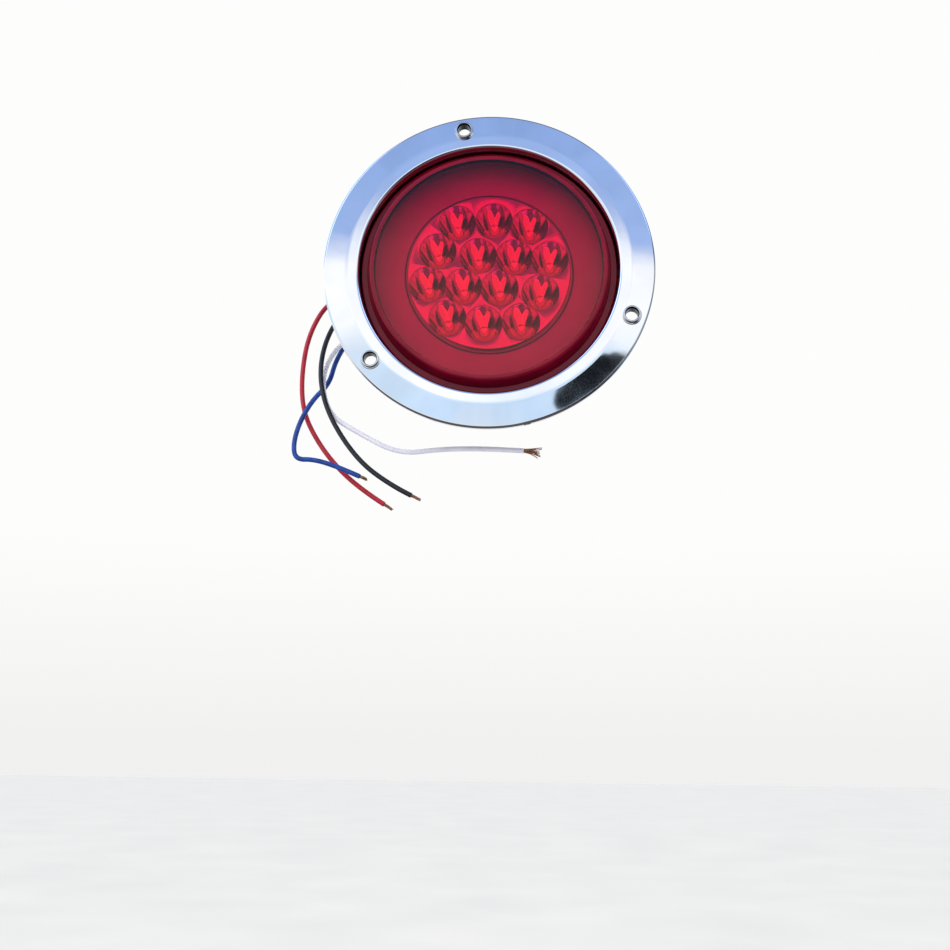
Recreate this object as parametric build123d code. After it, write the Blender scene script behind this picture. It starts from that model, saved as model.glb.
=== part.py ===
from build123d import *
import math
import os

# Round trailer tail light in a chrome bezel flange. Millimetres.
# Frame: the lamp as it is mounted. +Z up, the lens faces -Y, and the origin is the centre of the
# flange's rear seat, so everything at positive Y sits behind the mounting panel.

# Bezel flange
FLANGE_RADIUS = 70.0
OPENING_RADIUS = 54.8
SKIRT_RADIUS = 56.2
LIP_HEIGHT = 3.4
EDGE_HEIGHT = 2.5
FACE_CREASE_RADIUS = 60.0
RIM_WALL = 1.6
SKIN = 1.7
LIP_ROUND = 1.3
EDGE_ROUND = 1.0
SCREW_BOSS_RADIUS = 5.2

# Mounting screws
SCREW_CIRCLE_RADIUS = 63.5
SCREW_COUNT = 3
BEZEL_TURN = 10.0
SCREW_HOLE_RADIUS = 2.6
EYELET_BARREL_RADIUS = 3.3
EYELET_RIM_RADIUS = 3.65
EYELET_FOOT_RADIUS = 4.1
EYELET_HEIGHT = 5.0
EYELET_FOOT_HEIGHT = 3.7
EYELET_RIM_STEP = 0.4
GASKET_CLEARANCE = 0.2

# Lens
LENS_RADIUS = 54.3
LENS_HEIGHT = 5.0
WINDOW_THICKNESS = 2.0
WINDOW_RADIUS = 50.0
WINDOW_ROUND = 1.0
LENS_FOOT_RADIUS = 51.6
LENS_LEDGE_Y = 1.5
LENS_LEDGE_ROUND = 0.6
LENS_WALL = 2.2
SEAL_THICKNESS = 0.8

# Housing
SHOULDER_Y = 13.0
SHOULDER_THICKNESS = 2.2
TONGUE_Y = 9.5
TONGUE_RADIUS = 51.9
CUP_INNER_RADIUS = 49.2
CUP_FRONT_RADIUS = 51.8
CUP_BACK_RADIUS = 50.8
BACK_Y = 28.0
BACK_WALL = 2.2
BACK_ROUND = 3.0
BACK_RIB_RADII = (29.0, 43.0)
BACK_RIB_WIDTH = 1.6
BACK_RIB_HEIGHT = 0.8

# Reflector and its cups, as rows seen from the front; the other half is the same turned by 180 degrees
REFLECTOR_RADIUS = 34.4
REFLECTOR_FOOT_RADIUS = 35.6
REFLECTOR_Y = 2.4
REFLECTOR_WALL = 1.2
CUP_RADIUS = 8.0
CUP_BOTTOM_RADIUS = 2.2
CUP_DEPTH = 10.5
CUP_WALL = 0.8
LENS_TURN = -4.5
HALF_PATTERN = (
    (-15.5, 21.3),
    (0.2, 23.4),
    (15.6, 22.0),
    (-22.6, 7.8),
    (-5.2, 6.9),
    (10.2, 7.4),
    (25.4, 7.6),
)

# Halo ring
HALO_INNER_RADIUS = 36.0
HALO_INNER_Y = 4.4
HALO_OUTER_Y = 6.2
HALO_THICKNESS = 1.8

# Circuit board and what it carries
BOARD_Y = 13.5
BOARD_THICKNESS = 1.6
BOARD_RADIUS = 48.4
BOARD_SCREW_CIRCLE = 45.4
BOARD_SCREW_TURN = 30.0
BOARD_SCREW_RADIUS = 1.25
BOARD_POST_RADIUS = 3.0
LED_BASE_RADIUS = 1.9
LED_BASE_HEIGHT = 1.0
LED_DOME_RADIUS = 1.5
LED_BARREL = 3.3
HALO_LED_COUNT = 24
HALO_LED_CIRCLE = 41.5
HALO_LED_SIZE = (3.5, 1.2, 2.8)
BOARD_SCREW_CLEARANCE = 0.15
BOARD_SCREW_HEAD = (2.3, 1.5)
BOARD_SCREW_REACH = 6.5
# Rows on the back of the board: size of one part, how many, spacing along X, and the row's Z
BOARD_ROWS = {
    "resistors": ((3.2, 0.6, 1.6), 6, 6.0, -18.0),
    "diodes": ((4.3, 2.2, 2.6), 4, 8.0, -26.0),
    "current_regulator": ((6.5, 2.3, 6.1), 1, 0.0, -8.0),
}

# Wires and the grommet that they leave through
GROMMET_X = -22.0
GROMMET_Z = 8.0
GROMMET_BOSS_HEIGHT = 2.0
GROMMET_BOSS_RADIUS = 10.0
GROMMET_GROOVE_RADIUS = 7.0
GROMMET_COLLAR_RADIUS = 8.6
GROMMET_COLLAR_HEIGHT = 1.6
GROMMET_NOSE_RADIUS = 6.4
GROMMET_END_Y = 34.0
WIRE_RADIUS = 1.1
SOLDER_RADIUS = 2.1
SOLDER_HEIGHT = 1.4
SOLDER_TIP = 0.2

# Routes of the four wires, from the grommet's end face to the end of the insulation
ROUTES = {
    "red": [
        (-19.4, 34.0, 10.6), (-19.4, 52.0, 10.6), (-36.0, 63.0, 14.0), (-58.0, 60.0, 15.0),
        (-76.0, 51.0, 7.0), (-84.5, 46.5, -11.5), (-87.0, 46.0, -32.0), (-85.5, 46.0, -49.5),
        (-78.0, 46.0, -64.0), (-67.5, 45.5, -77.0), (-55.5, 45.0, -87.0), (-47.0, 44.5, -92.5),
    ],
    "black": [
        (-24.6, 34.0, 10.6), (-24.6, 49.0, 10.6), (-38.0, 59.0, 11.5), (-56.0, 56.0, 8.0),
        (-70.5, 46.5, -2.5), (-76.0, 38.5, -20.0), (-76.8, 36.0, -37.5), (-71.5, 35.5, -55.0),
        (-58.3, 35.5, -74.5), (-43.0, 35.0, -86.0), (-34.0, 34.5, -90.5),
    ],
    "white": [
        (-24.6, 34.0, 5.4), (-24.6, 48.5, 5.4), (-38.5, 57.5, 3.0), (-55.0, 54.0, -4.0),
        (-68.0, 46.5, -15.0), (-75.0, 41.0, -28.0), (-76.0, 39.5, -40.5), (-71.5, 38.5, -53.5),
        (-59.0, 36.0, -61.5), (-40.0, 32.5, -72.5), (-21.0, 29.0, -71.0), (-1.5, 26.0, -71.5),
        (15.0, 24.0, -73.0),
    ],
    "blue": [
        (-19.4, 34.0, 5.4), (-19.4, 51.0, 5.4), (-35.0, 61.5, 3.0), (-53.5, 59.0, -4.0),
        (-66.5, 52.0, -12.5), (-71.5, 46.0, -25.0), (-73.5, 43.5, -37.0), (-80.5, 42.5, -44.5),
        (-86.0, 41.5, -55.5), (-88.3, 41.0, -66.0), (-86.8, 40.5, -73.0), (-78.5, 40.0, -73.0),
        (-67.5, 39.5, -76.5), (-57.6, 39.0, -81.0),
    ],
}
# Bare copper past the insulation: length, and its radius where it starts and where it ends
STRAND_ENDS = {
    "red": (5.0, 0.75, 0.75),
    "black": (5.0, 0.75, 0.75),
    "white": (7.5, 0.9, 3.4),
    "blue": (4.0, 0.8, 0.8),
}

BOARD_BACK_Y = BOARD_Y + BOARD_THICKNESS
INNER_BACK_Y = BACK_Y - BACK_WALL
BOSS_Y = BACK_Y + GROMMET_BOSS_HEIGHT
SCREW_ANGLES = [90.0 + BEZEL_TURN + 360.0 * i / SCREW_COUNT for i in range(SCREW_COUNT)]
BOARD_SCREW_ANGLES = [BOARD_SCREW_TURN + 120.0 * i for i in range(3)]


def on_circle(radius, angle):
    """X and Z of a point on a circle about the lamp's axis, the angle seen from the front."""
    return radius * math.cos(math.radians(angle)), radius * math.sin(math.radians(angle))


def turned(points, rounds=None):
    """Solid of revolution about the Y axis from (radius, y) corners; rounds maps a corner to its fillet."""
    face = make_face(Polyline(*points, close=True))
    for index, radius in (rounds or {}).items():
        corner = face.vertices().sort_by_distance(Vector(*points[index], 0))[0]
        face = fillet(corner, radius)
    return revolve(face, Axis.Y)


def flat_ring(inner_radius, outer_radius, y_start, y_end):
    return turned([(inner_radius, y_start), (outer_radius, y_start), (outer_radius, y_end), (inner_radius, y_end)])


def rod(x, z, y_start, y_end, radius):
    """Cylinder along Y from y_start to y_end."""
    middle = (y_start + y_end) / 2
    return Pos(x, middle, z) * Rot(90, 0, 0) * Cylinder(radius, abs(y_end - y_start))


def block(x, z, y_start, size, angle=0.0):
    """Box that stands on the plane y_start, turned about Y."""
    return Pos(x, y_start + size[1] / 2, z) * Rot(0, -angle, 0) * Box(*size)


def moved(shape, x, z):
    return Pos(x, 0, z) * shape


def cup_centres():
    """Centres of the 14 cups as (x, z)."""
    turn = math.radians(LENS_TURN)
    centres = []
    for side in (1, -1):
        for x, z in HALF_PATTERN:
            turned_x = x * math.cos(turn) - z * math.sin(turn)
            turned_z = x * math.sin(turn) + z * math.cos(turn)
            centres.append((side * turned_x, side * turned_z))
    return centres


def wire_exits():
    return {colour: (route[0][0], route[0][2]) for colour, route in ROUTES.items()}


def bezel_flange():
    floor_y = -LIP_HEIGHT + SKIN
    shell = turned(
        [
            (OPENING_RADIUS, -LIP_HEIGHT),
            (FACE_CREASE_RADIUS, -LIP_HEIGHT),
            (FLANGE_RADIUS, -EDGE_HEIGHT),
            (FLANGE_RADIUS, 0),
            (FLANGE_RADIUS - RIM_WALL, 0),
            (FLANGE_RADIUS - RIM_WALL, -EDGE_HEIGHT + SKIN),
            (FACE_CREASE_RADIUS, floor_y),
            (SKIRT_RADIUS, floor_y),
            (SKIRT_RADIUS, SHOULDER_Y - SEAL_THICKNESS),
            (OPENING_RADIUS, SHOULDER_Y - SEAL_THICKNESS),
        ],
        {0: LIP_ROUND, 2: EDGE_ROUND},
    )
    for angle in SCREW_ANGLES:
        x, z = on_circle(SCREW_CIRCLE_RADIUS, angle)
        shell += rod(x, z, -EDGE_HEIGHT, 0, SCREW_BOSS_RADIUS)
    for angle in SCREW_ANGLES:
        x, z = on_circle(SCREW_CIRCLE_RADIUS, angle)
        shell -= rod(x, z, -EYELET_HEIGHT, EYELET_HEIGHT, EYELET_BARREL_RADIUS)
    return shell


def screw_eyelets(bezel):
    """Steel sleeves that keep the screws from crushing the flange."""
    rim = EYELET_RIM_STEP
    sleeve = turned([
        (SCREW_HOLE_RADIUS, -EYELET_HEIGHT),
        (EYELET_BARREL_RADIUS, -EYELET_HEIGHT),
        (EYELET_RIM_RADIUS, -EYELET_HEIGHT + rim),
        (EYELET_RIM_RADIUS, -EYELET_HEIGHT + 2 * rim),
        (EYELET_BARREL_RADIUS, -EYELET_HEIGHT + 3 * rim),
        (EYELET_BARREL_RADIUS, -EYELET_FOOT_HEIGHT),
        (EYELET_FOOT_RADIUS, -EYELET_FOOT_HEIGHT),
        (EYELET_FOOT_RADIUS, -EDGE_HEIGHT),
        (EYELET_BARREL_RADIUS, -EDGE_HEIGHT),
        (EYELET_BARREL_RADIUS, 0),
        (SCREW_HOLE_RADIUS, 0),
    ])
    return [moved(sleeve, *on_circle(SCREW_CIRCLE_RADIUS, angle)) - bezel for angle in SCREW_ANGLES]


def mounting_gasket():
    """Foam ring in the channel behind the flange, flush with the seat."""
    front_y = -EDGE_HEIGHT + SKIN
    outer_radius = FLANGE_RADIUS - RIM_WALL - GASKET_CLEARANCE
    ring = flat_ring(SKIRT_RADIUS + GASKET_CLEARANCE, outer_radius, front_y, 0)
    for angle in SCREW_ANGLES:
        x, z = on_circle(SCREW_CIRCLE_RADIUS, angle)
        ring -= rod(x, z, -LIP_HEIGHT, LIP_HEIGHT, SCREW_BOSS_RADIUS + GASKET_CLEARANCE)
    return ring


def outer_lens():
    """Flat window that stands proud of the bezel, with sloping sides down to a ledge inside it."""
    window_back_y = -LENS_HEIGHT + WINDOW_THICKNESS
    ledge_back_y = LENS_LEDGE_Y + LENS_WALL
    return turned(
        [
            (0, -LENS_HEIGHT),
            (WINDOW_RADIUS, -LENS_HEIGHT),
            (LENS_FOOT_RADIUS, LENS_LEDGE_Y),
            (LENS_RADIUS, LENS_LEDGE_Y),
            (LENS_RADIUS, SHOULDER_Y - SEAL_THICKNESS),
            (LENS_RADIUS - LENS_WALL, SHOULDER_Y - SEAL_THICKNESS),
            (LENS_RADIUS - LENS_WALL, ledge_back_y),
            (LENS_FOOT_RADIUS - LENS_WALL, ledge_back_y),
            (WINDOW_RADIUS - LENS_WALL, window_back_y),
            (0, window_back_y),
        ],
        {1: WINDOW_ROUND, 3: LENS_LEDGE_ROUND},
    )


def lens_seal():
    return flat_ring(LENS_RADIUS - LENS_WALL, LENS_RADIUS, SHOULDER_Y - SEAL_THICKNESS, SHOULDER_Y)


def bezel_bond():
    return flat_ring(OPENING_RADIUS, SKIRT_RADIUS, SHOULDER_Y - SEAL_THICKNESS, SHOULDER_Y)


def halo_diffuser():
    """Smooth cone-shaped ring with a foot that stands on the housing's tongue."""
    return turned([
        (HALO_INNER_RADIUS, HALO_INNER_Y),
        (TONGUE_RADIUS, HALO_OUTER_Y),
        (TONGUE_RADIUS, TONGUE_Y),
        (CUP_INNER_RADIUS, TONGUE_Y),
        (CUP_INNER_RADIUS, HALO_OUTER_Y + HALO_THICKNESS),
        (HALO_INNER_RADIUS, HALO_INNER_Y + HALO_THICKNESS),
    ])


def cup_shape(extra):
    """Paraboloid of one cup, grown outwards by extra, with its mouth carried on past the disc's face."""
    slope = (CUP_RADIUS ** 2 - CUP_BOTTOM_RADIUS ** 2) / CUP_DEPTH
    bottom_y = REFLECTOR_Y + CUP_DEPTH
    front_y = REFLECTOR_Y - CUP_WALL
    stations = [REFLECTOR_Y + CUP_DEPTH * share for share in (0.0, 0.3, 0.6, 0.85, 1.0)]
    curve = [(math.sqrt(CUP_BOTTOM_RADIUS ** 2 + slope * (bottom_y - y)) + extra, y) for y in stations]
    straight = Polyline(curve[-1], (0, bottom_y), (0, front_y), (curve[0][0], front_y), curve[0])
    return revolve(make_face([Spline(*curve), straight]), Axis.Y)


def reflector():
    """Disc with 14 deep cups and a skirt that stands on the circuit board."""
    outline = [
        (0, REFLECTOR_Y),
        (REFLECTOR_RADIUS, REFLECTOR_Y),
        (REFLECTOR_FOOT_RADIUS, HALO_INNER_Y),
        (REFLECTOR_FOOT_RADIUS, BOARD_Y),
    ]
    hollow = [
        (0, REFLECTOR_Y + REFLECTOR_WALL),
        (REFLECTOR_RADIUS - REFLECTOR_WALL, REFLECTOR_Y + REFLECTOR_WALL),
        (REFLECTOR_FOOT_RADIUS - REFLECTOR_WALL, HALO_INNER_Y + REFLECTOR_WALL),
        (REFLECTOR_FOOT_RADIUS - REFLECTOR_WALL, BOARD_Y),
        (0, BOARD_Y),
    ]
    envelope = turned(outline + [(0, BOARD_Y)])
    shells = [moved(cup_shape(CUP_WALL), x, z) & envelope for x, z in cup_centres()]
    spaces = [moved(cup_shape(0.0), x, z) for x, z in cup_centres()]
    return (envelope - turned(hollow)).fuse(*shells).cut(*spaces)


def stop_leds():
    """LEDs with a round dome, one in the bottom of each cup."""
    dome_y = BOARD_Y - LED_BASE_HEIGHT - LED_BARREL
    leds = []
    for x, z in cup_centres():
        led = rod(x, z, BOARD_Y, BOARD_Y - LED_BASE_HEIGHT, LED_BASE_RADIUS)
        led += rod(x, z, BOARD_Y - LED_BASE_HEIGHT, dome_y, LED_DOME_RADIUS)
        led += Pos(x, dome_y, z) * Rot(90, 0, 0) * Sphere(LED_DOME_RADIUS, arc_size1=0)
        leds.append(led)
    return leds


def halo_leds():
    leds = []
    for i in range(HALO_LED_COUNT):
        angle = 360.0 * (i + 0.5) / HALO_LED_COUNT
        x, z = on_circle(HALO_LED_CIRCLE, angle)
        leds.append(block(x, z, BOARD_Y - HALO_LED_SIZE[1], HALO_LED_SIZE, angle))
    return leds


def circuit_board():
    board = rod(0, 0, BOARD_Y, BOARD_BACK_Y, BOARD_RADIUS)
    for angle in BOARD_SCREW_ANGLES:
        x, z = on_circle(BOARD_SCREW_CIRCLE, angle)
        board -= rod(x, z, BOARD_Y - 1, BOARD_BACK_Y + 1, BOARD_SCREW_RADIUS + BOARD_SCREW_CLEARANCE)
    return board


def row_on_board(size, count, spacing, z):
    """Parts in a row on the back of the board, centred on X = 0."""
    first = -spacing * (count - 1) / 2
    return [block(first + spacing * i, z, BOARD_BACK_Y, size) for i in range(count)]


def board_screws():
    head_radius, head_height = BOARD_SCREW_HEAD
    shank_end_y = BOARD_BACK_Y + BOARD_SCREW_REACH
    screws = []
    for angle in BOARD_SCREW_ANGLES:
        x, z = on_circle(BOARD_SCREW_CIRCLE, angle)
        screw = rod(x, z, BOARD_Y - head_height, BOARD_Y, head_radius)
        screw += rod(x, z, BOARD_Y, shank_end_y, BOARD_SCREW_RADIUS)
        screws.append(screw)
    return screws


def housing():
    cup = turned(
        [
            (CUP_INNER_RADIUS, TONGUE_Y),
            (TONGUE_RADIUS, TONGUE_Y),
            (TONGUE_RADIUS, SHOULDER_Y),
            (SKIRT_RADIUS, SHOULDER_Y),
            (SKIRT_RADIUS, SHOULDER_Y + SHOULDER_THICKNESS),
            (CUP_FRONT_RADIUS, SHOULDER_Y + SHOULDER_THICKNESS),
            (CUP_BACK_RADIUS, BACK_Y),
            (0, BACK_Y),
            (0, INNER_BACK_Y),
            (CUP_INNER_RADIUS - BACK_WALL, INNER_BACK_Y),
            (CUP_INNER_RADIUS, INNER_BACK_Y - BACK_WALL),
        ],
        {6: BACK_ROUND},
    )
    for radius in BACK_RIB_RADII:
        cup += flat_ring(radius, radius + BACK_RIB_WIDTH, BACK_Y - BACK_RIB_HEIGHT, BACK_Y + BACK_RIB_HEIGHT)
    cup += rod(GROMMET_X, GROMMET_Z, INNER_BACK_Y, BOSS_Y, GROMMET_BOSS_RADIUS)
    cup -= rod(GROMMET_X, GROMMET_Z, BOARD_BACK_Y, GROMMET_END_Y, GROMMET_GROOVE_RADIUS)
    for angle in BOARD_SCREW_ANGLES:
        x, z = on_circle(BOARD_SCREW_CIRCLE, angle)
        cup += rod(x, z, BOARD_BACK_Y, INNER_BACK_Y + BACK_WALL / 2, BOARD_POST_RADIUS)
    for angle in BOARD_SCREW_ANGLES:
        x, z = on_circle(BOARD_SCREW_CIRCLE, angle)
        cup -= rod(x, z, BOARD_BACK_Y - 1, INNER_BACK_Y - 1, BOARD_SCREW_RADIUS)
    return cup


def wire_grommet():
    collar_y = INNER_BACK_Y - GROMMET_COLLAR_HEIGHT
    body = turned([
        (0, collar_y),
        (GROMMET_COLLAR_RADIUS, collar_y),
        (GROMMET_COLLAR_RADIUS, INNER_BACK_Y),
        (GROMMET_GROOVE_RADIUS, INNER_BACK_Y),
        (GROMMET_GROOVE_RADIUS, BOSS_Y),
        (GROMMET_COLLAR_RADIUS, BOSS_Y),
        (GROMMET_COLLAR_RADIUS, BOSS_Y + GROMMET_COLLAR_HEIGHT),
        (GROMMET_NOSE_RADIUS, GROMMET_END_Y),
        (0, GROMMET_END_Y),
    ])
    body = moved(body, GROMMET_X, GROMMET_Z)
    for x, z in wire_exits().values():
        body -= rod(x, z, BOARD_Y, GROMMET_END_Y + 1, WIRE_RADIUS)
    return body


def inner_leads():
    """The stretch of each wire between the board and the grommet's end face."""
    return [rod(x, z, BOARD_BACK_Y, GROMMET_END_Y, WIRE_RADIUS) for x, z in wire_exits().values()]


def solder_joints():
    fillet_ring = turned([
        (WIRE_RADIUS, BOARD_BACK_Y),
        (SOLDER_RADIUS, BOARD_BACK_Y),
        (WIRE_RADIUS + SOLDER_TIP, BOARD_BACK_Y + SOLDER_HEIGHT),
        (WIRE_RADIUS, BOARD_BACK_Y + SOLDER_HEIGHT),
    ])
    return [moved(fillet_ring, x, z) for x, z in wire_exits().values()]


def bend_radii(route):
    """Largest arc that the two runs at each inner point of a route allow."""
    points = [Vector(*point) for point in route]
    radii = []
    for before, here, after in zip(points, points[1:], points[2:]):
        turn = math.radians((here - before).get_angle(after - here))
        shorter = min((here - before).length, (after - here).length)
        radii.append(0.45 * shorter / math.tan(turn / 2))
    return radii


def wire(colour):
    """Insulated wire along its route, straight runs joined by tangent arcs."""
    route = ROUTES[colour]
    radii = bend_radii(route)
    path = FilletPolyline(*route, radius=radii)
    section = Plane(path @ 0, z_dir=path % 0) * Circle(WIRE_RADIUS)
    tube = sweep(section, path)
    expected = math.pi * WIRE_RADIUS ** 2 * path.length
    print(f"wire_{colour}: {path.length:.1f} mm, volume ratio {tube.volume / expected:.4f}")
    print("  radii", [round(radius, 1) for radius in radii])
    return tube


def strand_end(colour):
    """Bare copper end as one tapered solid in line with the wire's last run."""
    length, start_radius, end_radius = STRAND_ENDS[colour]
    before, end = (Vector(*point) for point in ROUTES[colour][-2:])
    start_plane = Plane(end, z_dir=end - before)
    profile = Polyline((0, 0), (start_radius, 0), (end_radius, length), (0, length), close=True)
    cone = revolve(Plane.XZ * make_face(profile), Axis.Z)
    return start_plane.location * cone


def save(name, shapes):
    solids = shapes if isinstance(shapes, list) else [shapes]
    children = [solid for shape in solids for solid in shape.solids()]
    shape = children[0] if len(children) == 1 else Compound(children=children)
    export_step(shape, f"parts/{name}.step")


def main():
    os.makedirs("parts", exist_ok=True)
    bezel = bezel_flange()
    save("bezel_flange", bezel)
    save("screw_eyelets", screw_eyelets(bezel))
    save("mounting_gasket", mounting_gasket() - bezel)
    save("outer_lens", outer_lens())
    save("lens_seal", lens_seal())
    save("bezel_bond", bezel_bond())
    save("halo_diffuser", halo_diffuser())
    save("reflector", reflector())
    save("stop_leds", stop_leds())
    save("halo_leds", halo_leds())
    save("circuit_board", circuit_board())
    for name, row in BOARD_ROWS.items():
        save(name, row_on_board(*row))
    save("board_screws", board_screws())
    save("housing", housing())
    save("wire_grommet", wire_grommet())
    save("inner_leads", inner_leads())
    save("solder_joints", solder_joints())
    for colour in ROUTES:
        save(f"wire_{colour}", wire(colour))
        save(f"strands_{colour}", strand_end(colour))


main()
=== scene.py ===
import bmesh
import bpy
import math
import random
from mathutils import Matrix, Vector


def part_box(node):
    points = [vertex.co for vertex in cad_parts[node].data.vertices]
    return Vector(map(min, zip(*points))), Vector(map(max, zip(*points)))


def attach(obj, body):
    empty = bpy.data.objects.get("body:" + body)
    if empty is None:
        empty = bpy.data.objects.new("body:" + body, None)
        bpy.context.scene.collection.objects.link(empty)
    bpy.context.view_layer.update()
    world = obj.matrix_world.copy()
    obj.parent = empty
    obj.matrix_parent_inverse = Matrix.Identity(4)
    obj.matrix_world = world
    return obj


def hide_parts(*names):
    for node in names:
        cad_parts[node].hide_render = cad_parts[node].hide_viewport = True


# Round trailer tail light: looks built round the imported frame. Metres, in the frame's own axes:
# +Z up, the lens faces -Y, and the origin is the centre of the flange's rear seat.

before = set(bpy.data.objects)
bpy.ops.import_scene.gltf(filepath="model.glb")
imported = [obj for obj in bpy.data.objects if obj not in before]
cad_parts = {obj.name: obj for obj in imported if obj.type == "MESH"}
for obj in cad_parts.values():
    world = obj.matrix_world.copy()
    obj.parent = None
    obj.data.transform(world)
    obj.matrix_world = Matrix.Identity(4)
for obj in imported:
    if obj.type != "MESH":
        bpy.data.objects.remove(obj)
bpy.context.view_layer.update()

# Sides of a turned shape, from the whole lamp down to its smallest parts
SEGMENTS = 256
LARGE_SEGMENTS = 128
MIDDLE_SEGMENTS = 96
NARROW_SEGMENTS = 64
TINY_SEGMENTS = 48
SHARP_ANGLE = math.radians(32)
# How close to a run's end a flat face gets its guarding ring
GUARD = 0.00005
# How far a cutter runs past what it cuts
CUT_MARGIN = 0.001

# Camera, in front of the lamp and below its axis
CAMERA_PLACE = (0.0179, -0.4755, -0.1968)
CAMERA_AHEAD = (-0.0463, 0.9742, 0.2207)
CAMERA_UP = (-0.0020, -0.2210, 0.9753)
CAMERA_LENS_MM = 45.47
CAMERA_SENSOR_MM = 36.0

# Wires: routes from the grommet's end face to the end of the insulation
WIRE_RADIUS = 0.0011
ROUTES = {
    "red": [
        (-0.0194, 0.0340, 0.0106), (-0.0194, 0.0520, 0.0106), (-0.0360, 0.0630, 0.0140),
        (-0.0580, 0.0600, 0.0150), (-0.0760, 0.0510, 0.0070), (-0.0845, 0.0465, -0.0115),
        (-0.0870, 0.0460, -0.0320), (-0.0855, 0.0460, -0.0495), (-0.0780, 0.0460, -0.0640),
        (-0.0675, 0.0455, -0.0770), (-0.0555, 0.0450, -0.0870), (-0.0470, 0.0445, -0.0925),
    ],
    "black": [
        (-0.0246, 0.0340, 0.0106), (-0.0246, 0.0490, 0.0106), (-0.0380, 0.0590, 0.0115),
        (-0.0560, 0.0560, 0.0080), (-0.0705, 0.0465, -0.0025), (-0.0760, 0.0385, -0.0200),
        (-0.0768, 0.0360, -0.0375), (-0.0715, 0.0355, -0.0550), (-0.0583, 0.0355, -0.0745),
        (-0.0430, 0.0350, -0.0860), (-0.0340, 0.0345, -0.0905),
    ],
    "white": [
        (-0.0246, 0.0340, 0.0054), (-0.0246, 0.0485, 0.0054), (-0.0385, 0.0575, 0.0030),
        (-0.0550, 0.0540, -0.0040), (-0.0680, 0.0465, -0.0150), (-0.0750, 0.0410, -0.0280),
        (-0.0760, 0.0395, -0.0405), (-0.0715, 0.0385, -0.0535), (-0.0590, 0.0360, -0.0615),
        (-0.0400, 0.0325, -0.0725), (-0.0210, 0.0290, -0.0710), (-0.0015, 0.0260, -0.0715),
        (0.0150, 0.0240, -0.0730),
    ],
    "blue": [
        (-0.0194, 0.0340, 0.0054), (-0.0194, 0.0510, 0.0054), (-0.0350, 0.0615, 0.0030),
        (-0.0535, 0.0590, -0.0040), (-0.0665, 0.0520, -0.0125), (-0.0715, 0.0460, -0.0250),
        (-0.0735, 0.0435, -0.0370), (-0.0805, 0.0425, -0.0445), (-0.0860, 0.0415, -0.0555),
        (-0.0883, 0.0410, -0.0660), (-0.0868, 0.0405, -0.0730), (-0.0785, 0.0400, -0.0730),
        (-0.0675, 0.0395, -0.0765), (-0.0576, 0.0390, -0.0810),
    ],
}
# Bare copper: length, how many strands, how far they spread at the tip, how unruly they are
COPPER_ENDS = {
    "red": (0.0050, 7, 0.00055, 0.00008),
    "black": (0.0050, 7, 0.00055, 0.00008),
    "white": (0.0075, 15, 0.0026, 0.0006),
    "blue": (0.0040, 7, 0.00065, 0.00010),
}
STRAND_RADIUS = 0.00020
# Where each strand has its points: shares of the bare length, from inside the insulation to the tip
STRAND_STATIONS = (-0.12, 0.25, 0.6, 1.0)
# Angle from one strand to the next, and how far each winds round the bundle: radians
STRAND_TURN = 2.4
STRAND_TWIST = 0.7
# How much of the insulation's radius the bundle fills, how late it spreads, how much a strand may be short
BUNDLE_SHARE = 0.62
SPREAD_POWER = 1.6
TIP_TRIM = 0.25
# Roundness of the insulation and of a strand, and steps along each stretch of their curves
CORD_SMOOTHNESS = 5
STRAND_SMOOTHNESS = 2
CURVE_STEPS = 20

# Bezel flange
OPENING_RADIUS = 0.0548
CREASE_RADIUS = 0.0600
EDGE_Y = -0.0025
RIM_WALL = 0.0016
SKIN = 0.0017
LIP_ROUND = 0.0013
EDGE_ROUND = 0.0010
CREASE_ROUND = 0.0200
BOSS_RADIUS = 0.0052
GASKET_CLEARANCE = 0.0002

# Screw eyelets: depths are from the rim's front face
BARREL_RADIUS = 0.0033
BORE_RADIUS = 0.0026
MOUTH_RADIUS = 0.0030
MOUTH_DEPTH = 0.0009
RIM_RADIUS = 0.00365
RIM_DEPTH = 0.0007
NECK_RADIUS = 0.0030
NECK_TOP = 0.0010
NECK_END = 0.0015
FOOT_TOP = 0.0017
FOOT_END = 0.0025

# Lens
WINDOW_RADIUS = 0.0500
WINDOW_THICKNESS = 0.0020
WINDOW_ROUND = 0.0010
CLEAR_RADIUS = 0.0482
LENS_FOOT_RADIUS = 0.0516
LENS_LEDGE_Y = 0.0015
LENS_LEDGE_ROUND = 0.0006
LENS_WALL = 0.0022

# Halo, reflector and cups
HALO_INNER_RADIUS = 0.0360
HALO_THICKNESS = 0.0018
HALO_DROP = 0.0018
REFLECTOR_FACE_RADIUS = 0.0344
CUP_RADIUS = 0.0080
CUP_BOTTOM_RADIUS = 0.0022
CUP_DEPTH = 0.0105
CUP_LIP = 0.0003
CUP_RINGS = 20
LIP_STEPS = 5
LED_BASE_HEIGHT = 0.0010
# The pale base is this much wider, and this much further forward, than the CAD node's
LED_BASE_SHIFT = 0.0001
DOME_STEPS = 12
LED_DOME_RADIUS = 0.0015
LED_BARREL = 0.0033
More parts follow.
